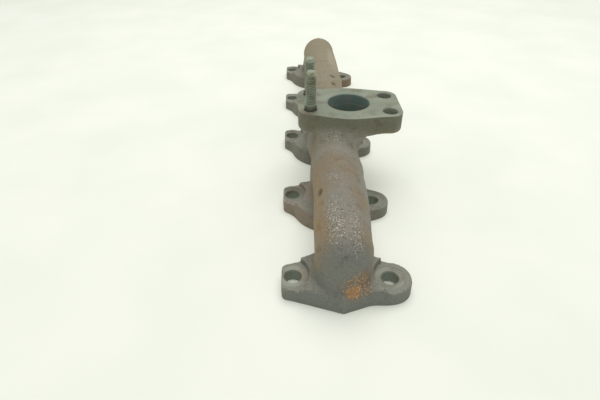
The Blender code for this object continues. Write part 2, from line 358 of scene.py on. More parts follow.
@dataclass(frozen=True)
class Lattice:
    """A grid of sample points for a field, in millimetres.

    Points are drawn onto the surface a few times, each time by no more than a limit in steps of the grid.
    """

    low: Place
    high: Place
    step: Place
    draws: int = 2
    draw_limit: float = 0.5

    def axes(self) -> Points:
        """Return the three axes' samples, shaped to spread over one another."""
        lines = [np.arange(a, b, s, dtype=np.float32) for a, b, s in zip(self.low, self.high, self.step)]
        return lines[0][:, None, None], lines[1][None, :, None], lines[2][None, None, :]

    def skin(self, values: Array) -> tuple[Array, list[list[int]]]:
        """Return the points and four-sided faces of the surface where a field is nought.

        Args:
            values: The field on this grid.

        Returns:
            Points in millimetres, and faces that point outwards.
        """
        inside = values < 0
        size = np.array(values.shape)
        corners = np.array(list(product((0, 1), repeat=3)))
        count = np.zeros(size - 1, np.int8)
        for corner in corners:
            count += inside[tuple(slice(c, n - 1 + c) for c, n in zip(corner, size))]
        mixed = (count > 0) & (count < len(corners))
        number = np.full(mixed.shape, -1, np.int64)
        number[mixed] = np.arange(mixed.sum())
        cells = np.argwhere(mixed)
        total = np.zeros(cells.shape)
        hits = np.zeros(len(cells))
        for a, b in product(corners, corners):
            if (b - a).sum() != 1 or (b < a).any():
                continue
            first, second = values[tuple((cells + a).T)], values[tuple((cells + b).T)]
            cross = (first < 0) != (second < 0)
            part = np.where(cross, first / np.where(cross, first - second, 1), 0)
            total += np.where(cross[:, None], a + part[:, None] * (b - a), 0)
            hits += cross
        spots = cells + total / hits[:, None]
        points = self.drawn_to(values, spots) * np.array(self.step) + np.array(self.low)
        faces: list[list[int]] = []
        for axis in range(3):
            near, far = [slice(None)] * 3, [slice(None)] * 3
            near[axis], far[axis] = slice(0, -1), slice(1, None)
            start = inside[tuple(near)]
            edges = np.argwhere(start != inside[tuple(far)])
            one, two = (axis + 1) % 3, (axis + 2) % 3
            around = []
            for shift_one, shift_two in ((0, 0), (-1, 0), (-1, -1), (0, -1)):
                cell = edges.copy()
                cell[:, one] += shift_one
                cell[:, two] += shift_two
                around.append(number[tuple(cell.T)])
            quads = np.stack(around, axis=1)
            outward = start[tuple(edges.T)]
            faces += np.where(outward[:, None], quads, quads[:, ::-1]).tolist()
        return points, faces

    def drawn_to(self, values: Array, spots: Array) -> Array:
        """Draw points onto the surface of a field.

        Args:
            values: The field on this grid.
            spots: The points, in steps of the grid.

        Returns:
            The moved points, in steps of the grid.
        """
        slopes = np.gradient(values)
        for _ in range(self.draws):
            base = np.clip(np.floor(spots).astype(int), 0, np.array(values.shape) - 2)
            part = spots - base
            found = np.zeros((4, len(spots)))
            for corner in product((0, 1), repeat=3):
                weight = np.prod(np.where(np.array(corner), part, 1 - part), axis=1)
                place = tuple((base + np.array(corner)).T)
                for row, source in enumerate((values, *slopes)):
                    found[row] += weight * source[place]
            slope = found[1:].T
            move = found[0][:, None] * slope / np.maximum((slope**2).sum(1), 1e-6)[:, None]
            spots = spots - np.clip(move, -self.draw_limit, self.draw_limit)
        return spots


@dataclass
class SandSkin:
    """Lumps and grains that a sand mould leaves on iron, in millimetres."""

    lump_size: float = 9.0
    lump_depth: float = 0.32
    lump_detail: float = 1.0
    grain_size: float = 2.6
    grain_depth: float = 0.13
    grain_detail: float = 2.0

    def tree(self) -> NodeTree:
        """Return the nodes that push a surface in and out along its normals."""
        sizes = ("Lump Size", "Lump Depth", "Grain Size", "Grain Depth")
        tree, given = open_tree("sand skin", {size: "Float" for size in sizes})
        place = add_node(tree, "GeometryNodeInputPosition").outputs[0]
        pushes = []
        for kind, detail in (("Lump", self.lump_detail), ("Grain", self.grain_detail)):
            values = {0: 1.0, 1: given[f"{kind} Size"]}
            scale = add_node(tree, "ShaderNodeMath", values, operation="DIVIDE").outputs[0]
            values = {"Vector": place, "Scale": scale, "Detail": detail}
            noise = add_node(tree, "ShaderNodeTexNoise", values).outputs[0]
            level = add_node(tree, "ShaderNodeMath", {0: noise, 1: 0.5}, operation="SUBTRACT").outputs[0]
            values = {0: level, 1: given[f"{kind} Depth"]}
            pushes.append(add_node(tree, "ShaderNodeMath", values, operation="MULTIPLY").outputs[0])
        push = add_node(tree, "ShaderNodeMath", {0: pushes[0], 1: pushes[1]}, operation="ADD").outputs[0]
        normal = add_node(tree, "GeometryNodeInputNormal").outputs[0]
        offset = add_node(tree, "ShaderNodeVectorMath", {0: normal, "Scale": push}, operation="SCALE")
        values = {"Geometry": given["Geometry"], "Offset": offset.outputs[0]}
        moved = add_node(tree, "GeometryNodeSetPosition", values).outputs[0]
        return close_tree(tree, moved, given)

    def apply(self, piece: Object, material: Material) -> Mesh:
        """Give a mesh the skin.

        Args:
            piece: The object with the smooth mesh, which is removed.
            material: Its finish.

        Returns:
            The plain mesh with the skin.
        """
        values = {
            "Lump Size": self.lump_size * MM,
            "Lump Depth": self.lump_depth * MM,
            "Grain Size": self.grain_size * MM,
            "Grain Depth": self.grain_depth * MM,
            "Material": material,
        }
        return run_tree(piece, self.tree(), values)


@dataclass
class BoltPattern:
    """The machined bolt seats and holes of the port flanges, in millimetres."""

    hole_radius: float = 5.25
    chamfer: float = 0.5
    seat_height: float = 9.0
    seat_radius: float = 9.3
    seat_corner: float = 0.4
    rubbed_radius: float = 7.6
    rubbed_depth: float = 0.12
    top: float = 16.1
    below: float = 3.0
    sides: int = 64

    def cutter(self) -> Mesh:
        """Return one cutter, for a bolt at the origin."""
        hole, edge, floor = self.hole_radius, self.chamfer, self.seat_height - self.rubbed_depth
        rings = [
            (hole + edge + self.below, -self.below),
            (hole, edge),
            (hole, floor - edge),
            (hole + edge, floor),
            (self.rubbed_radius, floor),
            (self.rubbed_radius + self.rubbed_depth, self.seat_height),
            (self.seat_radius - self.seat_corner, self.seat_height),
            (self.seat_radius, self.seat_height + self.seat_corner),
            (self.seat_radius, self.top),
        ]
        return turned_mesh("bolt cutter", rings, (0.0, 0.0), self.sides)

    def tree(self) -> NodeTree:
        """Return the nodes that set a cutter on each bolt's point."""
        tree, given = open_tree("bolt cutters", {"Cutter": "Object"})
        cutter = add_node(tree, "GeometryNodeObjectInfo", {"Object": given["Cutter"]})
        values = {"Points": given["Geometry"], "Instance": cutter.outputs["Geometry"]}
        copies = add_node(tree, "GeometryNodeInstanceOnPoints", values).outputs[0]
        return close_tree(tree, copies, given)

    def cutters(self, bolts: list[Pair], material: Material) -> Mesh:
        """Return the cutters of all the bolts as one mesh.

        Args:
            bolts: The bolts' places.
            material: Finish of the cut faces.

        Returns:
            The mesh.
        """
        one = link_object("bolt_cutter", self.cutter())
        points = link_object("bolt_points", solid_mesh("bolt points", [(x, y, 0.0) for x, y in bolts], []))
        made = run_tree(points, self.tree(), {"Cutter": one, "Material": material})
        bpy.data.objects.remove(one)
        return made


# Small hollows that the mould left on top of the log
PITS = (
    Spot((-20.3, -130.5, 41.1), (2.4, 4.3, 1.6)),
    Spot((2.6, 59.8, 46.7), (2.5, 3.6, 1.4)),
    Spot((1.9, 40.0, 47.0), (2.3, 3.4, 1.4)),
)


@dataclass
class ManifoldCasting:
    """The iron casting, in millimetres: log with domed ends, runners, port flanges, neck and turbo flange."""

    # Row of ports, log and runners
    port_count: int = 5
    port_x: float = -8.25
    middle_y: float = -0.70
    pitch: float = 87.0
    port_radius: float = 17.0
    wall: float = 4.0
    log_x: float = -5.0
    log_z: float = 30.0
    log_radius: float = 18.2
    end_blend: float = 60.0
    near_x: float = -7.6
    far_x: float = -5.4
    far_radius: float = 17.6
    far_reach: float = 8.5
    far_bluntness: float = 1.6
    tube_fillet: float = 6.0
    least_fillet_share: float = 0.01
    ridge_height: float = 0.35
    ridge_width: float = 0.95
    ridge_from: float = 16.0
    ridge_over: float = 8.0

    # Port flanges: a round boss with two bolt ears, and a nose at the row's two ends
    flange_top: float = 12.6
    flange_rim: float = 0.8
    flare_radius: float = 5.5
    end_flare: float = 3.2
    end_flare_from: float = 2.0
    end_flare_over: float = 8.0
    pocket_radius: float = 17.0
    pocket_offset: float = 7.0
    pocket_floor: float = 9.25
    pocket_corner: float = 0.6
    boss_radius: float = 29.5
    boss_shift: tuple[float, ...] = (-4.3, -5.9, -3.4, -1.3, -2.3)
    boss_rim: tuple[float, ...] = (2.0, 5.5, 5.5, 5.5, 5.5)
    boss_rim_from: float = 25.0
    boss_rim_over: float = 10.0
    boss_draft: float = 0.11
    bolt_x: float = 29.4
    left_shift: tuple[float, ...] = (1.3, 0.8, 9.6, 10.5, 11.0)
    right_shift: tuple[float, ...] = (-0.9, -7.2, -3.5, -9.0, -13.5)
    left_ear: float = 11.55
    right_ear: tuple[float, ...] = (13.0, 13.0, 13.0, 12.4, 11.6)
    ear_draft: float = 0.03
    ear_blend: float = 8.0
    left_flat: float = 7.0
    flat_corner: float = 1.5
    nose_reach: float = 21.0
    nose_radius: float = 3.0
    nose_at_right: float = 8.9

    # Turbocharger flange and the neck under it
    turbo_x: float = 5.95
    turbo_y: float = -44.2
    turbo_face: float = 65.0
    turbo_back: float = 50.7
    turbo_back_edge: float = 1.6
    turbo_boss: float = 27.3
    turbo_boss_shift: float = -1.5
    turbo_span: Pair = (59.0, 29.0)
    turbo_skew: float = 2.1
    turbo_corner: float = 9.3
    turbo_bore: float = 16.0
    bore_floor: float = 57.0
    bore_edge: float = 0.6
    bore_sides: int = 96
    turbo_hole: float = 5.5
    hole_edge: float = 0.5
    hole_sides: int = 64
    stud_count: int = 2
    stud_hole: float = 4.15
    collar_hole: float = 5.0
    collar_seat: float = 1.5
    neck_top: float = 53.6
    neck_radius: float = 21.0
    neck_fillet: float = 8.0
    # Beside a leaning tube a distance measured level is too long, and this shortens it
    neck_slope: float = 0.85
    collar_fillet: float = 13.0
    pits: tuple[Spot, ...] = PITS
    pit_edge: float = 0.3

    # Stock that the milling takes off, its cutters' reach, and the gas passages
    face_stock: float = 2.5
    flange_stock: float = 3.0
    cut_past: float = 3.0
    cut_half: float = 400.0
    cut_bottom: float = -60.0
    cut_top: float = 120.0
    core_gap: float = 0.3
    core_fillet: float = 5.0
    core_ends: Pair = (-6.0, 70.0)

    # Sampling of the two fields, and the angle from which a machined edge is sharp
    skin_grid: Lattice = Lattice((-52.0, -199.5, -4.0), (47.0, 199.5, 70.0), (1.1, 1.5, 1.1))
    core_grid: Lattice = Lattice((-28.0, -194.0, -9.0), (30.0, 194.0, 74.0), (2.0, 2.0, 2.0))
    sharp_angle: float = 25.0

    def half_row(self) -> float:
        """Return how far the end ports lie from the middle of the row."""
        return self.pitch * (self.port_count - 1) / 2

    def ports(self) -> list[float]:
        """Return the ports' places along the row."""
        return [self.middle_y + (i - self.port_count // 2) * self.pitch for i in range(self.port_count)]

    def bolts(self) -> list[Pair]:
        """Return the places of the bolts in the port flanges."""
        rows = ((-self.bolt_x, self.left_shift), (self.bolt_x, self.right_shift))
        return [(self.port_x + x, y + shift) for x, shifts in rows for y, shift in zip(self.ports(), shifts)]

    def turbo_corners(self) -> list[Pair]:
        """Return the turbocharger flange's corner holes, the two studs' first."""
        wide, deep = self.turbo_span
        corners = []
        for side, end in product((-1, 1), (-1, 1)):
            y = self.turbo_y + end * deep / 2 - side * self.turbo_skew
            corners.append((self.turbo_x + side * wide / 2, y))
        return corners

    def log_line(self, y: Array) -> tuple[Array, Array]:
        """Return the log's run along the row.

        Args:
            y: Places along the row.

        Returns:
            The log's middle in x at each place, and how far it has come over to its end there.
        """
        part = np.clip((np.abs(y - self.middle_y) - self.half_row()) / self.end_blend + 1, 0, 1)
        share = part * part * (3 - 2 * part)
        end = np.where(y < self.middle_y, self.near_x, self.far_x)
        return self.log_x + (end - self.log_x) * share, share

    def tube_field(self, at: Points, thinner: float = 0.0) -> Array:
        """Return the field of the log, its domed ends and the five runners under it.

        Args:
            at: Places to measure.
            thinner: How much smaller than the outside all the radii are.

        Returns:
            The signed distances.
        """
        x, y, z = at
        along = np.abs(y - self.middle_y)
        far = y > self.middle_y
        middle, share = self.log_line(y)
        past = np.maximum(along - self.half_row() - np.where(far, self.far_reach, 0), 0)
        past = past * np.where(far, self.far_bluntness, 1)
        end_radius = np.where(far, self.far_radius, self.port_radius)
        log = np.sqrt((x - middle) ** 2 + (z - self.log_z) ** 2 + past**2)
        log = log - self.log_radius - (end_radius - self.log_radius) * share**3 + thinner
        nearest = np.clip(np.round(along / self.pitch), 0, self.port_count // 2)
        lean = np.clip((z - self.flange_top) / (self.log_z - self.flange_top), 0, 1)
        across = x - self.port_x - (middle - self.port_x) * lean
        runner = np.hypot(across, np.abs(along - self.pitch * nearest)) - self.port_radius + thinner
        fillet = np.clip((self.half_row() - along) / self.port_radius, self.least_fillet_share, 1)
        return fillet_union(log, np.maximum(runner, z - self.log_z), self.tube_fillet * fillet)

    def flange_plan(self, index: int, at: Points) -> Array:
        """Return the field of one port flange's outline, which leans in a little as it rises.

        Args:
            index: The port's number, from the near end.
            at: Places to measure.

        Returns:
            The signed distances from the outline.
        """
        x, y, z = at
        port = self.ports()[index]
        left = (self.port_x - self.bolt_x, port + self.left_shift[index])
        right = (self.port_x + self.bolt_x, port + self.right_shift[index])
        middle = port + self.boss_shift[index]
        boss = np.hypot(x - self.port_x, y - middle) - self.boss_radius + self.boss_draft * z
        left_ear = np.hypot(x - left[0], y - left[1]) - self.left_ear + self.ear_draft * z
        right_ear = np.hypot(x - right[0], y - right[1]) - self.right_ear[index] + self.ear_draft * z
        end = {0: -1, self.port_count - 1: 1}.get(index)
        if end is not None:
            nose = (self.port_x, port + end * (self.nose_reach - self.nose_radius), self.nose_radius)
            wedge = hull_of_circles([(*left, self.left_ear), (*right, self.nose_at_right), nose])
            left_ear = outline_field(wedge, x, y) + self.ear_draft * z
            boss = np.maximum(boss, end * (y - middle))
        plan = fillet_union(fillet_union(boss, left_ear, self.ear_blend), right_ear, self.ear_blend)
        return round_edge(plan, left[0] - self.left_flat - x, self.flat_corner)

    def pocket_field(self, bolt: Pair, at: Points) -> Array:
        """Return the field of the low place around a bolt, which is open towards the flange's edge.

        Args:
            bolt: The bolt's place.
            at: Places to measure.

        Returns:
            The signed distances.
        """
        x, y, z = at
        middle = bolt[0] + math.copysign(self.pocket_offset, bolt[0] - self.port_x)
        side = np.hypot(x - middle, y - bolt[1]) - self.pocket_radius
        return np.maximum(side, np.maximum(self.pocket_floor - z, z - self.log_z))

    def neck_field(self, at: Points, foot: float, head: float) -> Array:
        """Return the field of a tube that bends over from the log to the turbocharger flange.

        Args:
            at: Places to measure.
            foot: Its radius on the log's axis.
            head: Its radius at the top of the neck.

        Returns:
            The signed distances.
        """
        x, y, z = at
        part = 1 - np.clip((self.neck_top - z) / (self.neck_top - self.log_z), 0, 1) ** 2
        middle = self.log_x + (self.turbo_x - self.log_x) * part
        radius = foot + (head - foot) * part
        side = (np.hypot(x - middle, y - self.turbo_y) - radius) * self.neck_slope
        return np.maximum(side, self.log_z - z)

    def cast_field(self, at: Points) -> Array:
        """Return the field of the whole casting as it left the mould.

        Args:
            at: Places to measure.

        Returns:
            The signed distances.
        """
        x, y, z = at
        plane, _ = self.log_line(y)
        rise = np.clip((z - self.ridge_from) / self.ridge_over, 0, 1)
        ridge = np.exp(-(((x - plane) / self.ridge_width) ** 2)) * rise
        tubes = self.tube_field(at) - self.ridge_height * ridge
        past = np.abs(y - self.middle_y) - self.half_row() - self.end_flare_from
        flare = (self.end_flare - self.flare_radius) * np.clip(past / self.end_flare_over, 0, 1)
        top = fillet_union(tubes, z - self.flange_top, self.flare_radius + flare)
        for bolt in self.bolts():
            top = round_edge(top, -self.pocket_field(bolt, at), self.pocket_corner)
        body = tubes
        soft = np.clip((self.boss_rim_from - np.abs(x - self.port_x)) / self.boss_rim_over, 0, 1)
        for index, boss_rim in enumerate(self.boss_rim):
            rim = self.flange_rim + (boss_rim - self.flange_rim) * soft
            body = np.minimum(body, round_edge(top, self.flange_plan(index, at), rim))
        neck = self.neck_field(at, self.log_radius, self.neck_radius)
        body = fillet_union(body, np.maximum(neck, z - self.turbo_face), self.neck_fillet)
        circles = [(cx, cy, self.turbo_corner) for cx, cy in self.turbo_corners()]
        circles.append((self.turbo_x, self.turbo_y + self.turbo_boss_shift, self.turbo_boss))
        plan = outline_field(hull_of_circles(circles), x, y)
        flange = round_edge(plan, self.turbo_back - z, self.turbo_back_edge)
        flange = np.maximum(flange, z - self.turbo_face - self.flange_stock)
        body = fillet_union(body, flange, self.collar_fillet)
        for pit in self.pits:
            body = round_edge(body, -pit.field(at), self.pit_edge)
        return np.maximum(body, np.maximum(-self.face_stock - z, z - self.turbo_face - self.face_stock))

    def core_field(self, at: Points) -> Array:
        """Return the field of the gas passages.

        Args:
            at: Places to measure.

        Returns:
            The signed distances.
        """
        neck = self.neck_field(at, self.port_radius - self.wall, self.turbo_bore - self.core_gap)
        core = fillet_union(self.tube_field(at, self.wall), neck, self.core_fillet)
        low, high = self.core_ends
        return np.maximum(core, np.maximum(low - at[2], at[2] - high))

    def hole_rings(self, studded: bool) -> list[Pair]:
        """Return the cutter of a corner hole.

        Args:
            studded: Whether the hole holds a stud, with a seat for its collar.

        Returns:
            Radius and height of each ring, upwards.
        """
        low, face, high = self.turbo_back - self.cut_past, self.turbo_face, self.turbo_face + self.cut_past
        if studded:
            seat, hole, wide = face - self.collar_seat, self.stud_hole, self.collar_hole
            return [(hole, low), (hole, seat), (wide, seat), (wide, high)]
        hole, edge = self.turbo_hole, self.hole_edge
        return [(hole, low), (hole, face - edge), (hole + edge + self.cut_past, high)]

    def machining(self, machined: Material, soot: Material) -> list[Mesh]:
        """Return the cutters of the faces, seats, holes and bore.

        Args:
            machined: Finish of the machined faces.
            soot: Finish of the bore.

        Returns:
            The cutters.
        """
        half, face, bore = self.cut_half, self.turbo_face, self.turbo_bore
        cutters = [
            box_mesh("head face", (-half, -half, self.cut_bottom), (half, half, 0.0)),
            box_mesh("turbo face", (-half, -half, face), (half, half, self.cut_top)),
        ]
        for index, corner in enumerate(self.turbo_corners()):
            rings = self.hole_rings(index < self.stud_count)
            cutters.append(turned_mesh("turbo hole", rings, corner, self.hole_sides))
        for cutter in cutters:
            cutter.materials.append(machined)
        cutters.append(BoltPattern().cutters(self.bolts(), machined))
        mouth = (bore + self.bore_edge + self.cut_past, face + self.cut_past)
        rings = [(bore, self.bore_floor), (bore, face - self.bore_edge), mouth]
        sooted = turned_mesh("turbo bore", rings, (self.turbo_x, self.turbo_y), self.bore_sides)
        sooted.materials.append(soot)
        return cutters + [sooted]

    def build(self, skin: Material, machined: Material, soot: Material) -> Object:
        """Build the casting.

        Args:
            skin: Finish of the cast surface.
            machined: Finish of the machined faces.
            soot: Finish of the gas passages.

        Returns:
            The finished piece.
        """
        points, faces = self.skin_grid.skin(self.cast_field(self.skin_grid.axes()))
        LOG.info("cast skin of %d faces", len(faces))
        smooth = link_object("smooth_casting", solid_mesh("cast skin", points, faces))
        piece = link_object("rough_casting", SandSkin().apply(smooth, skin))
        points, faces = self.core_grid.skin(self.core_field(self.core_grid.axes()))
        core = solid_mesh("gas passages", points, faces)
        core.materials.append(soot)
        tools = []
        for number, cut in enumerate([core] + self.machining(machined, soot)):
            tools.append(link_object(f"tool_{number}", cut))
            modifier = piece.modifiers.new("cut", "BOOLEAN")
            modifier.operation = "DIFFERENCE"
            modifier.solver = "MANIFOLD"
            modifier.object = tools[-1]
            modifier.material_mode = "TRANSFER"
        mesh = settled(piece)
        for tool in tools:
            bpy.data.objects.remove(tool)
        self.mark_edges(mesh)
        self.mark_relief(mesh)
        return link_object("iron_casting", mesh)

    def mark_edges(self, mesh: Mesh) -> None:
        """Shade the casting smooth, with sharp edges only where it was machined.

        Args:
            mesh: The casting's mesh, which is changed.
        """
        mesh.shade_smooth()
        shape = bmesh.new()
        shape.from_mesh(mesh)
        for edge in shape.edges:
            kinds = {face.material_index for face in edge.link_faces}
            machined = kinds != {0} and edge.calc_face_angle(0.0) > math.radians(self.sharp_angle)
            edge.smooth = not (len(kinds) > 1 or machined)
        shape.to_mesh(mesh)
        shape.free()

    def mark_relief(self, mesh: Mesh) -> None:
        """Store how far each point stands out from its neighbours: a half is flat, one is an edge.

        Args:
            mesh: The casting's mesh, which gets the values as an attribute.
        """
        count = len(mesh.vertices)
        places, normals = np.empty(count * 3), np.empty(count * 3)
        ends = np.empty(len(mesh.edges) * 2, np.int64)
        mesh.vertices.foreach_get("co", places)
        mesh.vertices.foreach_get("normal", normals)
        mesh.edges.foreach_get("vertices", ends)
        places, normals, ends = places.reshape(-1, 3), normals.reshape(-1, 3), ends.reshape(-1, 2)
        total, met = np.zeros(count), np.zeros(count)
        for first, second in (ends.T, ends.T[::-1]):
            away = places[first] - places[second]
            rise = (away * normals[first]).sum(1) / np.maximum(np.linalg.norm(away, axis=1), 1e-9)
            np.add.at(total, first, rise)
            np.add.at(met, first, 1)
        relief = np.clip(0.5 + total / np.maximum(met, 1), 0, 1)
        mesh.attributes.new("relief", "FLOAT", "POINT").data.foreach_set("value", relief)


@dataclass
class TurboStud:
    """A threaded stud with a collar that stops it on the turbocharger flange, in millimetres."""

    x: float
    y: float
    radius: float = 4.0
    bottom: float = 51.2
    collar_bottom: float = 63.8
    collar_top: float = 68.0
    collar_radius: float = 4.7
    collar_edge: float = 0.4
    top: float = 94.0
    pilot_radius: float = 3.2
    pilot_length: float = 2.0
    chamfer: float = 0.8
    pitch: float = 1.25
    depth: float = 0.48
    run_out: float = 1.4
    # Where the thread's flank starts and ends, as shares of the pitch from the middle of its crest
    flank: Pair = (0.06, 0.40)
    rings_per_turn: int = 10
    sides: int = 44
    sharp_angle: float = 35.0

    def threaded(self, low: float, high: float, stops: bool) -> list[Place]:
        """Return the rings of a threaded stretch, whose thread starts at nothing.

        Args:
            low: The stretch's lowest height.
            high: The stretch's highest height.
            stops: Whether the thread also runs out at the top.

        Returns:
            Radius, height and share of thread of each ring, upwards.
        """
        count = round((high - low) / (self.pitch / self.rings_per_turn))
        rings = []
        for i in range(count + 1):
            height = low + (high - low) * i / count
            share = min(1.0, (height - low) / self.run_out)
            if stops:
                share = min(share, (high - height) / self.run_out)
            rings.append((self.radius, height, max(0.0, share)))
        return rings

    def profile(self) -> list[Place]:
        """Return radius, height and share of thread of each ring, upwards."""
        edge, wide, tip = self.collar_edge, self.collar_radius, self.pilot_radius
        shoulder = self.top - self.pilot_length
        return [
            (self.radius - self.chamfer, self.bottom, 0.0),
            *self.threaded(self.bottom + self.chamfer, self.collar_bottom, True),
            (wide, self.collar_bottom, 0.0),
            (wide, self.collar_top - edge, 0.0),
            (wide - edge, self.collar_top, 0.0),
            *self.threaded(self.collar_top, shoulder - self.chamfer, False),
            (tip, shoulder, 0.0),
            (tip, self.top - edge, 0.0),
            (tip - edge, self.top, 0.0),
        ]

    def tree(self) -> NodeTree:
        """Return the nodes that sink a one-start thread into the stud."""
        tree, given = open_tree("cut thread", {"Axis": "Vector", "Pitch": "Float", "Depth": "Float"})
        place = add_node(tree, "GeometryNodeInputPosition").outputs[0]
        values = {0: place, 1: given["Axis"]}
        away = add_node(tree, "ShaderNodeVectorMath", values, operation="SUBTRACT").outputs[0]
        x, y, z = add_node(tree, "ShaderNodeSeparateXYZ", {0: away}).outputs
        angle = add_node(tree, "ShaderNodeMath", {0: y, 1: x}, operation="ARCTAN2").outputs[0]
        around = add_node(tree, "ShaderNodeMath", {0: angle, 1: math.tau}, operation="DIVIDE").outputs[0]
        turns = add_node(tree, "ShaderNodeMath", {0: z, 1: given["Pitch"]}, operation="DIVIDE").outputs[0]
        phase = add_node(tree, "ShaderNodeMath", {0: turns, 1: around}, operation="SUBTRACT").outputs[0]
        tooth = add_node(tree, "ShaderNodeMath", {0: phase, 1: 0.5}, operation="PINGPONG").outputs[0]
        crest, root = self.flank
        values = {"Value": tooth, "From Min": crest, "From Max": root, "To Min": 0.0, "To Max": 1.0}
        wave = add_node(tree, "ShaderNodeMapRange", values).outputs[0]
        share = add_node(tree, "GeometryNodeInputNamedAttribute", {"Name": "thread"}, data_type="FLOAT")
        values = {0: wave, 1: share.outputs[0]}
        groove = add_node(tree, "ShaderNodeMath", values, operation="MULTIPLY").outputs[0]
        sink = groove
        for factor in (given["Depth"], -1.0):
            sink = add_node(tree, "ShaderNodeMath", {0: sink, 1: factor}, operation="MULTIPLY").outputs[0]
        flat = add_node(tree, "ShaderNodeCombineXYZ", {0: x, 1: y}).outputs[0]
        outward = add_node(tree, "ShaderNodeVectorMath", {0: flat}, operation="NORMALIZE").outputs[0]
        offset = add_node(tree, "ShaderNodeVectorMath", {0: outward, "Scale": sink}, operation="SCALE")
        values = {"Geometry": given["Geometry"], "Name": "groove", "Value": groove}
        marked = add_node(
            tree, "GeometryNodeStoreNamedAttribute", values, data_type="FLOAT", domain="POINT"
        )
        values = {"Geometry": marked.outputs[0], "Offset": offset.outputs[0]}
        moved = add_node(tree, "GeometryNodeSetPosition", values).outputs[0]
        return close_tree(tree, moved, given)

    def build(self, name: str, steel: Material) -> Object:
        """Build the stud.

        Args:
            name: The piece's name.
            steel: Its finish.

        Returns:
            The finished piece.
        """
        rings = self.profile()
        blank = turned_mesh("stud blank", [(r, h) for r, h, _ in rings], (self.x, self.y), self.sides)
        shares = [0.0] + [share for _, _, share in rings for _ in range(self.sides)] + [0.0]
        blank.attributes.new("thread", "FLOAT", "POINT").data.foreach_set("value", shares)
        values = {
            "Axis": (self.x * MM, self.y * MM, 0.0),
            "Pitch": self.pitch * MM,
            "Depth": self.depth * MM,
            "Material": steel,
        }
        mesh = run_tree(link_object("stud_blank", blank), self.tree(), values)
        mesh.shade_smooth()
        mesh.set_sharp_from_angle(angle=math.radians(self.sharp_angle))
        return link_object(name, mesh)


# Finishes


@dataclass(frozen=True)
class Finish:
    """What every finish starts from: its share of metal, its roughness and its fine relief in millimetres.

    The roughness goes from its first to its second value as a noise goes through its span.
    """

    name: str
    metallic: float = 0.0
    roughness: Pair = (0.5, 0.5)
    noise_span: Pair = (0.3, 0.7)
    relief_strength: float = 0.0
    relief_depth: float = 0.0

    def start(self) -> tuple[Material, NodeTree, NodeOutputs]:
        """Return a new material, its tree and the piece's own coordinates."""
        made = bpy.data.materials.new(self.name)
        made.use_nodes = True
        return made, made.node_tree, add_node(made.node_tree, "ShaderNodeTexCoord").outputs

    def noises(self, tree: NodeTree, place: NodeSocket, sizes: dict[str, Pair]) -> Noises:
        """Return the noises of a finish.

        Args:
            tree: The finish's tree.
            place: The coordinates.
            sizes: For each noise, the size of its blots in millimetres and its detail.

        Returns:
            Each noise's value, by name.
        """
        made = {}
        for name, (size, detail) in sizes.items():
            values = {"Vector": place, "Scale": 1 / (size * MM), "Detail": detail}
            made[name] = add_node(tree, "ShaderNodeTexNoise", values).outputs[0]
        return made

    def layers(self, tree: NodeTree, rows: list[Layer], fade: Fade = Fade.EVEN) -> Coats:
        """Return the coats that measures of the surface lay down.

        Args:
            tree: The finish's tree.
            rows: For each coat its measure, where it starts, where it is full, how much it then covers
                and its colour.
            fade: How a coat comes in between the two.

        Returns:
            How much each coat covers, and its colour.
        """
        coats = []
        for source, low, high, most, tint in rows:
            values = {"Value": source, "From Min": low, "From Max": high, "To Min": 0.0, "To Max": most}
            cover = add_node(tree, "ShaderNodeMapRange", values, interpolation_type=fade.value).outputs[0]
            coats.append((cover, tint))
        return coats

    def coated(self, tree: NodeTree, ground: str, coats: Coats) -> NodeSocket:
        """Return the colour that coats make on a ground.

        Args:
            tree: The finish's tree.
            ground: The lowest colour.
            coats: For each coat, from the lowest up, how much it covers and its colour.

        Returns:
            The colour.
        """
        colour: object = linear(ground)
        for cover, tint in coats:
            values = {0: cover, 6: colour, 7: linear(tint)}
            colour = add_node(tree, "ShaderNodeMix", values, data_type="RGBA").outputs[2]
        return colour

    def dress(self, tree: NodeTree, colour: NodeSocket, noise: NodeSocket, height: NodeSocket) -> None:
        """Give the shader its colour, its uneven roughness and its fine relief.

        Args:
            tree: The finish's tree.
            colour: The colour.
            noise: The noise that the roughness follows.
            height: The height that the relief follows.
        """
        low, high = self.noise_span
        first, second = self.roughness
        values = {"Value": noise, "From Min": low, "From Max": high, "To Min": first, "To Max": second}
        rough = add_node(tree, "ShaderNodeMapRange", values).outputs[0]
        values = {"Height": height, "Strength": self.relief_strength, "Distance": self.relief_depth * MM}
        bump = add_node(tree, "ShaderNodeBump", values).outputs[0]
        shader = tree.nodes["Principled BSDF"]
        for socket, source in (("Base Color", colour), ("Roughness", rough), ("Normal", bump)):
            tree.links.new(source, shader.inputs[socket])
        shader.inputs["Metallic"].default_value = self.metallic


# Places of the casting with a tone of their own, and with painted light and shade among them: the neck and
# the collar under the turbo flange, and the far log's right flank
CAST_TONES = {
    "turbo": Spot((6.0, -44.0, 60.0), (62.0, 52.0, 13.0), 0.6),
    "neck": Spot((0.0, -73.0, 46.5), (34.0, 27.0, 16.5)),
    "collar shade": Spot((-27.0, -58.0, 47.0), (15.0, 20.0, 11.0)),
    "feet": Spot((-34.0, -88.0, 7.0), (38.0, 62.0, 19.0), 0.6),
    "crown": Spot((-7.0, -160.0, 47.0), (16.0, 44.0, 12.0)),
    "last ear": Spot((25.0, 151.0, 6.0), (14.0, 16.0, 12.0), 0.5),
    "far flank": Spot((5.5, 112.0, 43.0), (9.0, 56.0, 15.0), 0.2),
    "streak": Spot((-22.0, -143.0, 34.0), (14.0, 60.0, 24.0)),
}
# Rust on the near end's foot
RUST_PATCH = Spot((0.5, -190.0, 17.5), (13.5, 13.0, 12.5), 0.5)
RUST_HEART = Spot((-2.8, -192.0, 14.2), (6.5, 7.5, 4.8), 0.4)
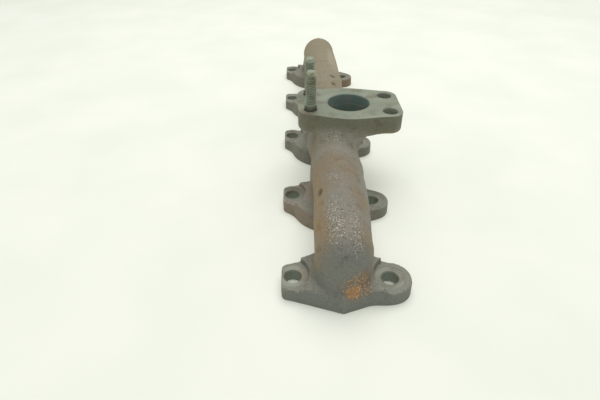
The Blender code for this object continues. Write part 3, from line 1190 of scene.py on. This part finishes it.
# Where painted glints and dark grains show, with the share of them that shows in the middle of each spot
GLINT_AND_DARK_GRAIN_SPOTS = [
    (Spot((-12.5, -166.0, 46.0), (8.5, 33.0, 15.0), 0.1), 0.5),
    (Spot((-1.8, -172.0, 44.2), (7.5, 27.0, 15.0), 0.1), 0.48),
    (Spot((-10.5, -122.0, 47.0), (9.0, 16.0, 8.0), 0.1), 0.2),
    (Spot((-5.0, -75.5, 51.5), (15.0, 9.0, 8.0), 0.1), 0.3),
    (RUST_PATCH, 0.12),
]


@dataclass(frozen=True)
class CastIron(Finish):
    """Sand-cast grey iron after long heat: matt and grainy, browned on the log and grey on the flanges."""

    name: str = "sand-cast grey iron"
    metallic: float = 0.2
    roughness: Pair = (0.62, 0.86)
    relief_strength: float = 0.55
    relief_depth: float = 0.25
    tone_size: float = 34.0
    blot_size: float = 7.0
    grain_size: float = 1.3
    # Real mould sand is about 0.3 mm, drawn coarser here so that it shows
    sand_size: float = 0.7
    glint_size: float = 0.8
    dark_size: float = 1.04
    rust_size: float = 1.1
    pore_size: float = 4.0
    pit_rim: float = 1.5
    # A single grain's chance of showing, how much it covers, and how its edge fades in its cell
    chance_span: Pair = (0.98, 1.10)
    grain_cover: float = 0.9
    edge_span: Pair = (0.25, 0.5)

    ground: str = "#887b65"
    grey: str = "#86867c"
    flange: str = "#7a7a6e"
    # Lighter grey of the ears' upward tops: painted light from above
    ear: str = "#8f8f82"
    brown: str = "#8f8170"
    cool: str = "#7b7e76"
    olive: str = "#737460"
    ochre: str = "#957f59"
    pale: str = "#92886d"
    # Lighter colour of the far log's upper right flank: painted light
    painted_flank_light: str = "#a99f86"
    # Lighter grey of the neck under the turbo flange: painted light set to its look in the flange's shade,
    # not soot
    painted_neck_light: str = "#939080"
    rust_stain: str = "#846d55"
    rust_heart: str = "#a5825b"
    rust_grain: str = "#d8ae7e"
    # Dark colour of pores, blots and dark grains, and of the painted shade in creases and pits
    hollow: str = "#4c4335"
    # Lighter colour of edges that stand out: partly wear, partly a painted highlight where the edges catch
    # the light
    worn: str = "#a5a294"
    # Light grains that stand in for the glints of rough iron: painted highlights
    painted_glint: str = "#cfcbbd"

    def product_of(self, tree: NodeTree, factors: list[Factor]) -> NodeSocket:
        """Return the product of measures of the surface.

        Args:
            tree: The finish's tree.
            factors: For each measure its source, the source's span, and what the span's ends give.

        Returns:
            The product.
        """
        cover: object = 1.0
        for source, low, high, least, most in factors:
            values = {"Value": source, "From Min": low, "From Max": high, "To Min": least, "To Max": most}
            part = add_node(tree, "ShaderNodeMapRange", values).outputs[0]
            cover = add_node(tree, "ShaderNodeMath", {0: cover, 1: part}, operation="MULTIPLY").outputs[0]
        return cover

    def covers(self, tree: NodeTree, coords: NodeOutputs, noises: Noises) -> Coats:
        """Return the broad coats of colour.

        Args:
            tree: The finish's tree.
            coords: The piece's coordinates.
            noises: The finish's noises.

        Returns:
            How much each coat covers, and its colour.
        """
        place = coords["Object"]
        _, y, z = add_node(tree, "ShaderNodeSeparateXYZ", {0: place}).outputs
        lean, _, rise = add_node(tree, "ShaderNodeSeparateXYZ", {0: coords["Normal"]}).outputs
        on = {name: spot.cover(tree, place) for name, spot in CAST_TONES.items()}
        coats = self.layers(tree, [
            (noises["tone"], 0.42, 0.60, 0.75, self.grey),
            (y, -10 * MM, 75 * MM, 0.8, self.pale),
            (z, 26 * MM, 11 * MM, 0.9, self.flange),
            (on["feet"], 0.0, 1.0, 0.8, self.brown),
            (on["crown"], 0.0, 1.0, 0.6, self.grey),
            (y, -176 * MM, -189 * MM, 0.9, self.cool),
            (on["turbo"], 0.0, 0.8, 0.9, self.olive),
            # The neck under the turbo flange gets a lighter, greyer coat: painted light in the flange's
            # shade, not soot
            (on["neck"], 0.0, 1.0, 0.75, self.painted_neck_light),
            # Darker olive under the turbo flange's left collar: painted shade
            (on["collar shade"], 0.0, 1.0, 0.8, self.olive),
            (on["last ear"], 0.0, 1.0, 0.8, self.rust_stain),
            # The far log's upper right flank gets lighter: painted light
            (on["far flank"], 0.0, 1.0, 0.7, self.painted_flank_light),
        ], Fade.SOFT)
        left_side = [
            (lean, -0.25, -0.85, 0.0, 1.0),
            (on["streak"], 0.0, 1.0, 0.0, 1.0),
            (noises["blot"], 0.35, 0.6, 0.35, 1.0),
        ]
        # Tops of the ears that face up get a lighter coat: painted light from above
        painted_ear_top_light = [(rise, 0.6, 0.95, 0.0, 0.7), (z, 15 * MM, 12.8 * MM, 0.0, 1.0)]
        coats.append((self.product_of(tree, left_side), self.ochre))
        coats.append((self.product_of(tree, painted_ear_top_light), self.ear))
        return coats

    def grains(
        self, tree: NodeTree, place: NodeSocket, size: float, spots: list[tuple[Spot, float]]
    ) -> NodeSocket:
        """Return where single grains of another colour show.

        Args:
            tree: The finish's tree.
            place: The piece's coordinates.
            size: How far apart the grains can lie, in millimetres.
            spots: Where they lie, with the share of them that shows in the middle of each spot.

        Returns:
            How much of a grain lies on a point.
        """
        most: object = 0.0
        for spot, share in spots:
            values = {0: spot.cover(tree, place), 1: share}
            part = add_node(tree, "ShaderNodeMath", values, operation="MULTIPLY").outputs[0]
            most = add_node(tree, "ShaderNodeMath", {0: most, 1: part}, operation="MAXIMUM").outputs[0]
        cells = add_node(tree, "ShaderNodeTexVoronoi", {"Vector": place, "Scale": 1 / (size * MM)}).outputs
        chance = add_node(tree, "ShaderNodeSeparateColor", {0: cells["Color"]}).outputs[0]
        total = add_node(tree, "ShaderNodeMath", {0: chance, 1: most}, operation="ADD").outputs[0]
        return self.product_of(tree, [
            (total, *self.chance_span, 0.0, self.grain_cover),
            (cells["Distance"], *self.edge_span, 1.0, 0.0),
        ])

    def specks(self, tree: NodeTree, place: NodeSocket, noises: Noises) -> Coats:
        """Return the rust on the near end's foot, and the dark grains and painted glints on top of the log.

        Args:
            tree: The finish's tree.
            place: The piece's coordinates.
            noises: The finish's noises.

        Returns:
            How much each coat covers, and its colour.
        """
        patch = RUST_PATCH.cover(tree, place)
        rusty = [(RUST_PATCH, 0.45), (RUST_HEART, 1.0)]
        stain = self.product_of(tree, [(patch, 0.0, 1.0, 0.0, 1.0), (noises["blot"], 0.3, 0.6, 0.3, 0.9)])
        return [
            (stain, self.rust_stain),
            (RUST_HEART.cover(tree, place), self.rust_heart),
            (self.grains(tree, place, self.rust_size, rusty), self.rust_grain),
            (self.grains(tree, place, self.dark_size, GLINT_AND_DARK_GRAIN_SPOTS), self.hollow),
            # Light grains that stand in for glints: painted highlights
            (self.grains(tree, place, self.glint_size, GLINT_AND_DARK_GRAIN_SPOTS), self.painted_glint),
        ]

    def material(self) -> Material:
        """Return the finish's material."""
        made, tree, coords = self.start()
        place = coords["Object"]
        noises = self.noises(tree, place, {
            "tone": (self.tone_size, 3.0),
            "blot": (self.blot_size, 4.0),
            "grain": (self.grain_size, 2.0),
            "sand": (self.sand_size, 1.0),
        })
        relief = add_node(tree, "ShaderNodeAttribute", attribute_name="relief").outputs["Fac"]
        values = {"Vector": place, "Scale": 1 / (self.pore_size * MM)}
        pores = add_node(tree, "ShaderNodeTexVoronoi", values).outputs["Distance"]
        coats = self.covers(tree, coords, noises) + self.layers(tree, [
            (noises["blot"], 0.56, 0.74, 0.35, self.hollow),
            # Creases and sunken corners get darker: painted shade
            (relief, 0.42, 0.20, 0.55, self.hollow),
            # Edges that stand out get lighter: partly wear, partly a painted highlight where they catch the
            # light
            (relief, 0.56, 0.74, 0.6, self.worn),
            (pores, 0.16, 0.06, 0.5, self.hollow),
        ])
        # The pits and a rim around them are darkened: painted shade in the small hollows
        for pit in PITS:
            hole = Spot(pit.centre, tuple(r + self.pit_rim for r in pit.reach), 0.2)
            coats.append((hole.cover(tree, place), self.hollow))
        colour = self.coated(tree, self.ground, coats + self.specks(tree, place, noises))
        shade = self.product_of(tree, [
            (noises["grain"], *self.noise_span, 0.85, 1.15),
            (noises["sand"], *self.noise_span, 0.90, 1.10),
        ])
        values = {0: 1.0, 6: colour, 7: shade}
        shaded = add_node(tree, "ShaderNodeMix", values, data_type="RGBA", blend_type="MULTIPLY").outputs[2]
        values = {0: noises["grain"], 1: noises["sand"]}
        height = add_node(tree, "ShaderNodeMath", values, operation="ADD").outputs[0]
        self.dress(tree, shaded, noises["grain"], height)
        return made


@dataclass(frozen=True)
class MilledIron(Finish):
    """Milled grey iron under a thin grey-green oxide: flat, satin, with faint tool lines and brown stains."""

    name: str = "milled grey iron"
    metallic: float = 0.3
    roughness: Pair = (0.46, 0.72)
    relief_strength: float = 0.25
    relief_depth: float = 0.06
    cloud_size: float = 31.2
    stain_size: float = 13.0
    speck_size: float = 1.1
    # The real tool lines are about 0.3 mm apart, drawn coarser here so that they show
    line_size: float = 1.5556
    # A diagonal wave of scale one goes through this many radians in a metre across a level face
    wave_rate: float = 10 * math.sqrt(2)

    ground: str = "#868d79"
    light: str = "#979d89"
    stain: str = "#756f5d"
    brown: str = "#84705c"
    dark: str = "#55564a"
    # Lighter colour of the low bolt seats: painted light against their shade
    seat: str = "#929386"
    # Lighter colour of the upright hole walls: painted light against the shade inside the holes
    wall: str = "#9aa195"

    def material(self) -> Material:
        """Return the finish's material."""
        made, tree, coords = self.start()
        place = coords["Object"]
        noises = self.noises(tree, place, {
            "stain": (self.stain_size, 4.0),
            "cloud": (self.cloud_size, 2.0),
            "speck": (self.speck_size, 2.0),
        })
        z = add_node(tree, "ShaderNodeSeparateXYZ", {0: place}).outputs[2]
        level = add_node(tree, "ShaderNodeSeparateXYZ", {0: coords["Normal"]}).outputs[2]
        upright = add_node(tree, "ShaderNodeMath", {0: level}, operation="ABSOLUTE").outputs[0]
        scale = math.tau / self.wave_rate / (self.line_size * MM)
        values = {"Vector": place, "Scale": scale, "Distortion": 1.2, "Detail": 1.0}
        lines = add_node(tree, "ShaderNodeTexWave", values, bands_direction="DIAGONAL").outputs["Fac"]
        coats = self.layers(tree, [
            (noises["cloud"], 0.45, 0.62, 0.7, self.light),
            # The low bolt seats get a lighter coat: painted light against the shade they sit in
            (z, 20 * MM, 12 * MM, 0.75, self.seat),
            (noises["stain"], 0.50, 0.66, 0.75, self.stain),
            (noises["speck"], 0.62, 0.74, 0.5, self.dark),
            (lines, 0.75, 1.0, 0.12, self.dark),
            # Upright machined faces, the walls of the holes, get lighter: painted light against the shade
            # inside them
            (upright, 0.5, 0.2, 0.85, self.wall),
        ])
        for spot, tint in (
            (Spot((-29.5, -171.5, 9.0), (6.5, 9.0, 5.0), 0.6), self.brown),
            (Spot((-30.0, -64.0, 65.0), (15.0, 10.0, 4.0)), self.brown),
            (Spot((-37.6, -87.0, 9.0), (15.0, 15.0, 4.0)), self.stain),
            (Spot((-37.6, 10.0, 9.0), (15.0, 15.0, 4.0)), self.stain),
        ):
            values = {0: spot.cover(tree, place), 1: noises["stain"]}
            coats.append((add_node(tree, "ShaderNodeMath", values, operation="MULTIPLY").outputs[0], tint))
        values = {0: noises["speck"], 1: lines}
        height = add_node(tree, "ShaderNodeMath", values, operation="ADD").outputs[0]
        self.dress(tree, self.coated(tree, self.ground, coats), noises["stain"], height)
        return made


@dataclass(frozen=True)
class SootedIron(Finish):
    """Iron under exhaust soot and scale: dull grey-green in the light, dark down the bore, quite matt."""

    name: str = "sooted iron"
    roughness: Pair = (0.95, 0.75)
    relief_strength: float = 0.5
    relief_depth: float = 0.3
    flake_size: float = 5.0
    ground: str = "#768b82"
    flake: str = "#868a7e"

    def material(self) -> Material:
        """Return the finish's material."""
        made, tree, coords = self.start()
        flakes = self.noises(tree, coords["Object"], {"flake": (self.flake_size, 5.0)})["flake"]
        coats = self.layers(tree, [(flakes, 0.45, 0.65, 1.0, self.flake)])
        self.dress(tree, self.coated(tree, self.ground, coats), flakes, flakes)
        return made


@dataclass(frozen=True)
class StudSteel(Finish):
    """Rolled-thread alloy steel, darkened by heat: satin crests, dirt in the grooves, a little brown rust."""

    name: str = "heat-darkened stud steel"
    metallic: float = 0.75
    roughness: Pair = (0.32, 0.62)
    noise_span: Pair = (0.35, 0.65)
    relief_strength: float = 0.3
    relief_depth: float = 0.08
    rust_size: float = 5.0
    speck_size: float = 0.8
    collar_top: float = 68.2
    collar_fade: float = 0.4
    ground: str = "#939d87"
    crest: str = "#b4b9a5"
    groove: str = "#6c725f"
    rust: str = "#8c8067"
    collar: str = "#5c5e52"

    def material(self) -> Material:
        """Return the finish's material."""
        made, tree, coords = self.start()
        place = coords["Object"]
        noises = self.noises(tree, place, {"rust": (self.rust_size, 4.0), "speck": (self.speck_size, 2.0)})
        groove = add_node(tree, "ShaderNodeAttribute", attribute_name="groove").outputs["Fac"]
        z = add_node(tree, "ShaderNodeSeparateXYZ", {0: place}).outputs[2]
        top = self.collar_top * MM
        coats = self.layers(tree, [
            (groove, 0.25, 0.0, 0.45, self.crest),
            (noises["rust"], 0.50, 0.68, 0.8, self.rust),
            (groove, 0.35, 1.0, 0.8, self.groove),
            (z, top + self.collar_fade * MM, top, 0.85, self.collar),
            (noises["speck"], 0.60, 0.75, 0.5, self.groove),
        ])
        self.dress(tree, self.coated(tree, self.ground, coats), noises["rust"], noises["speck"])
        return made


@dataclass(frozen=True)
class PaleBoard(Finish):
    """A white painted board with a faint green cast: matt, uneven in tone, and a little lighter in shadow."""

    name: str = "painted board"
    cloud_size: float = 90.0
    dullness: float = 0.85
    glow: float = 0.28
    glow_strength: float = 0.95
    ground: str = "#f9fcef"
    grey: str = "#f4f8ea"

    def material(self) -> Material:
        """Return the finish's material."""
        made, tree, coords = self.start()
        cloud = self.noises(tree, coords["Object"], {"cloud": (self.cloud_size, 2.0)})["cloud"]
        colour = self.coated(tree, self.ground, self.layers(tree, [(cloud, 0.35, 0.65, 1.0, self.grey)]))
        shader = tree.nodes["Principled BSDF"]
        tree.links.new(colour, shader.inputs["Base Color"])
        shader.inputs["Roughness"].default_value = self.dullness
        rays = add_node(tree, "ShaderNodeLightPath").outputs
        seen = rays["Is Camera Ray"]
        for ray in ("Is Glossy Ray", "Is Transmission Ray"):
            seen = add_node(tree, "ShaderNodeMath", {0: seen, 1: rays[ray]}, operation="ADD").outputs[0]
        share = add_node(tree, "ShaderNodeMath", {0: seen, 1: self.glow}, operation="MULTIPLY").outputs[0]
        values = {"Color": colour, "Strength": self.glow_strength}
        glow = add_node(tree, "ShaderNodeEmission", values).outputs[0]
        mixed = add_node(tree, "ShaderNodeMixShader", {0: share, 1: shader.outputs[0], 2: glow}).outputs[0]
        tree.links.new(mixed, tree.nodes["Material Output"].inputs["Surface"])
        return made


@dataclass
class Studio:
    """Floor, light and camera, with places and lengths in millimetres."""

    floor_half: float = 3000.0
    floor_z: float = -0.2
    sky: str = "#ffffff"
    sky_strength: float = 0.6
    lamp_place: Place = (100.0, 300.0, 1300.0)
    lamp_size: float = 1200.0
    lamp_watts: float = 10.0
    camera_place: Place = (-36.26, -368.14, 206.91)
    pitch: float = 35.893
    yaw: float = -0.873
    focal_pixels: float = 450.0
    frame_pixels: float = 600.0
    sensor_width: float = 36.0
    nearest: float = 10.0

    def floor(self) -> Object:
        """Return the floor."""
        corners = ((-1, -1), (1, -1), (1, 1), (-1, 1))
        points = [(x * self.floor_half, y * self.floor_half, self.floor_z) for x, y in corners]
        mesh = solid_mesh("floor", points, [(0, 1, 2, 3)])
        mesh.materials.append(PaleBoard().material())
        return link_object("studio_floor", mesh)

    def light(self) -> None:
        """Set up the pale surroundings, and one wide lamp that points at the origin."""
        scene = bpy.context.scene
        scene.world = bpy.data.worlds.new("studio")
        scene.world.use_nodes = True
        background = scene.world.node_tree.nodes["Background"]
        background.inputs["Color"].default_value = linear(self.sky)
        background.inputs["Strength"].default_value = self.sky_strength
        lamp = bpy.data.lights.new("overhead", "AREA")
        lamp.shape = "DISK"
        lamp.size = self.lamp_size * MM
        lamp.energy = self.lamp_watts
        holder = bpy.data.objects.new("overhead", lamp)
        holder.location = [v * MM for v in self.lamp_place]
        holder.rotation_euler = (-holder.location).to_track_quat("-Z", "Y").to_euler()
        scene.collection.objects.link(holder)

    def view(self) -> None:
        """Set up the camera."""
        scene = bpy.context.scene
        camera = bpy.data.cameras.new("camera")
        camera.sensor_fit = "HORIZONTAL"
        camera.sensor_width = self.sensor_width
        camera.lens = self.focal_pixels / self.frame_pixels * self.sensor_width
        camera.clip_start = self.nearest * MM
        holder = bpy.data.objects.new("camera", camera)
        holder.location = Vector(self.camera_place) * MM
        holder.rotation_euler = (math.radians(90 - self.pitch), 0.0, math.radians(self.yaw))
        scene.collection.objects.link(holder)
        scene.camera = holder

    def build(self) -> None:
        """Set up the studio."""
        bpy.context.scene.view_settings.view_transform = "Standard"
        self.floor()
        self.light()
        self.view()


def main() -> None:
    """Build the manifold's pieces and the studio."""
    logging.basicConfig(level=logging.INFO, format="%(message)s")
    casting = ManifoldCasting()
    iron = casting.build(CastIron().material(), MilledIron().material(), SootedIron().material())
    pieces = [(iron, "manifold_casting", Slot.IRON)]
    steel = StudSteel().material()
    for name, corner in zip(("front", "rear"), casting.turbo_corners()):
        stud = TurboStud(*corner).build(f"{name}_threaded_stud", steel)
        pieces.append((stud, f"{name}_turbo_stud", Slot.STEEL))
    for piece, node, slot in pieces:
        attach(piece, "root")
        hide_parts(node)
        triangles = sum(len(face.vertices) - 2 for face in piece.data.polygons)
        LOG.info("%s stands for %s: %d triangles", piece.name, node, triangles)
    Studio().build()


if __name__ == "__main__":
    main()
